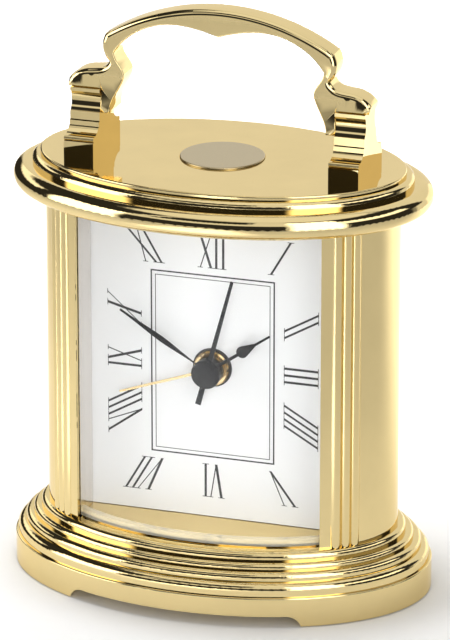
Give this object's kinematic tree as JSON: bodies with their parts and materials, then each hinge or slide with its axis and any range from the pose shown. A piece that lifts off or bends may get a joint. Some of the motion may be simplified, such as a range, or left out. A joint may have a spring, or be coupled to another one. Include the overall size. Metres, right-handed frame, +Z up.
{
  "type": "mantel clock",
  "caption": "Oval carriage-style alarm clock with bowed glass, reeded pilasters, stepped base, moulded cornice, carrying handle, hinged rear door and battery movement.",
  "frame": {"origin": "middle of the footprint, on the table under the foot pads", "axes": "+Z up, the dial faces -Y, +X to the right of someone facing the dial"},
  "size_m": [0.0762, 0.0514, 0.1043],
  "materials": {
    "gold_plate": "polished gold plate",
    "gold_satin": "satin gold",
    "gold_hand": "polished gold",
    "black_enamel": "black enamel",
    "glass": "clear",
    "clear_seal": "pale translucent",
    "dial_enamel": "cream white, printed",
    "black_washer": "black",
    "carrier_steel": "zinc plated",
    "base_plate": "matte black",
    "rubber": "matte",
    "steel": "plain",
    "movement_plastic": "moulded",
    "bridge_plastic": "moulded",
    "wheel_plastic": "moulded",
    "knob_plastic": "moulded",
    "switch_plastic": "moulded",
    "battery_wrap": "plain wrap",
    "board_laminate": "laminate",
    "chip_plastic": "moulded",
    "crystal_can": "bright",
    "copper_winding": "enamelled copper",
    "ferrite": "sintered ferrite",
    "buzzer_brass": "plain"
  },
  "bodies": {
    "clock": {"base_plinth": "gold_plate", "case_shell": "gold_plate", "pilaster_left": "gold_plate", "pilaster_right": "gold_plate", "cornice": "gold_plate", "handle_post_left": "gold_plate", "handle_post_right": "gold_plate", "handle_arch": "gold_plate", "hinge_pins": "gold_plate", "medallion": "gold_satin", "centre_nut": "gold_hand", "glass": "glass", "glass_seal_bottom": "clear_seal", "glass_seal_top": "clear_seal", "dial": "dial_enamel", "dial_washer": "black_washer", "dial_carrier": "carrier_steel", "base_cover": "base_plate", "foot_pads": "rubber", "base_cover_screws": "steel", "tie_rods": "steel", "dial_screws": "steel", "handle_screws": "steel", "movement_screws": "steel", "bridge_screws": "steel", "battery_contact_plus": "steel", "battery_contact_minus": "steel", "stator": "steel", "coil_core": "steel", "movement_case": "movement_plastic", "movement_back": "movement_plastic", "train_bridge": "bridge_plastic", "battery": "battery_wrap", "circuit_board": "board_laminate", "control_chip": "chip_plastic", "quartz_crystal": "crystal_can", "coil": "copper_winding", "buzzer": "buzzer_brass"},
    "minute": {"minute_hand": "black_enamel", "cannon_pinion": "wheel_plastic"},
    "hour": {"hour_hand": "black_enamel", "hour_wheel": "wheel_plastic"},
    "motion": {"motion_wheel": "wheel_plastic"},
    "time_knob": {"time_set_knob": "knob_plastic"},
    "second": {"second_hand": "black_enamel", "seconds_wheel": "wheel_plastic"},
    "intermediate": {"intermediate_wheel": "wheel_plastic"},
    "rotor": {"rotor": "ferrite"},
    "third": {"third_wheel": "wheel_plastic"},
    "centre": {"centre_wheel": "wheel_plastic"},
    "alarm": {"alarm_hand": "gold_hand", "alarm_wheel": "wheel_plastic"},
    "alarm_knob": {"alarm_set_knob": "knob_plastic"},
    "switch": {"alarm_switch": "switch_plastic"},
    "door": {"rear_door": "gold_plate", "door_knob": "gold_plate"}
  },
  "joints": [
    {"name": "minute_spin", "type": "hinge", "parent": "clock", "child": "minute", "pos_m": [0, 0, 0.0403], "axis": [0, 1, 0], "continuous": true},
    {"name": "hour_spin", "type": "hinge", "parent": "clock", "child": "hour", "pos_m": [0, 0, 0.0403], "axis": [0, 1, 0], "continuous": true},
    {"name": "motion_spin", "type": "hinge", "parent": "clock", "child": "motion", "pos_m": [0, 0, 0.0331], "axis": [0, 1, 0], "continuous": true},
    {"name": "time_set_turn", "type": "hinge", "parent": "clock", "child": "time_knob", "pos_m": [-0.00509, 0, 0.02801], "axis": [0, 1, 0], "continuous": true},
    {"name": "second_spin", "type": "hinge", "parent": "clock", "child": "second", "pos_m": [0, 0, 0.0403], "axis": [0, 1, 0], "continuous": true},
    {"name": "intermediate_spin", "type": "hinge", "parent": "clock", "child": "intermediate", "pos_m": [-0.00619, 0, 0.04649], "axis": [0, 1, 0], "continuous": true},
    {"name": "rotor_spin", "type": "hinge", "parent": "clock", "child": "rotor", "pos_m": [-0.00799, 0, 0.05145], "axis": [0, 1, 0], "continuous": true},
    {"name": "third_spin", "type": "hinge", "parent": "clock", "child": "third", "pos_m": [-0.00799, 0, 0.03739], "axis": [0, 1, 0], "continuous": true},
    {"name": "centre_spin", "type": "hinge", "parent": "clock", "child": "centre", "pos_m": [0, 0, 0.0403], "axis": [0, 1, 0], "continuous": true},
    {"name": "alarm_spin", "type": "hinge", "parent": "clock", "child": "alarm", "pos_m": [0, 0, 0.0403], "axis": [0, 1, 0], "continuous": true},
    {"name": "alarm_set_turn", "type": "hinge", "parent": "clock", "child": "alarm_knob", "pos_m": [0, 0, 0.0493], "axis": [0, 1, 0], "continuous": true},
    {"name": "alarm_switch_slide", "type": "slide", "parent": "clock", "child": "switch", "axis": [0, 0, 1], "range_m": [0, 0.003]},
    {"name": "rear_door_hinge", "type": "hinge", "parent": "clock", "child": "door", "pos_m": [-0.02139, 0.01515, 0.04125], "axis": [0, 0, 1], "range_deg": [0, 105]}
  ],
  "couplings": [
    {"joint": "hour_spin", "follows": "minute_spin", "ratio": 0.083333},
    {"joint": "motion_spin", "follows": "minute_spin", "ratio": -0.33333},
    {"joint": "time_set_turn", "follows": "minute_spin", "ratio": 1},
    {"joint": "intermediate_spin", "follows": "second_spin", "ratio": -6},
    {"joint": "rotor_spin", "follows": "second_spin", "ratio": 30},
    {"joint": "third_spin", "follows": "second_spin", "ratio": -0.13333},
    {"joint": "centre_spin", "follows": "second_spin", "ratio": 0.016667},
    {"joint": "alarm_set_turn", "follows": "alarm_spin", "ratio": -2}
  ]
}
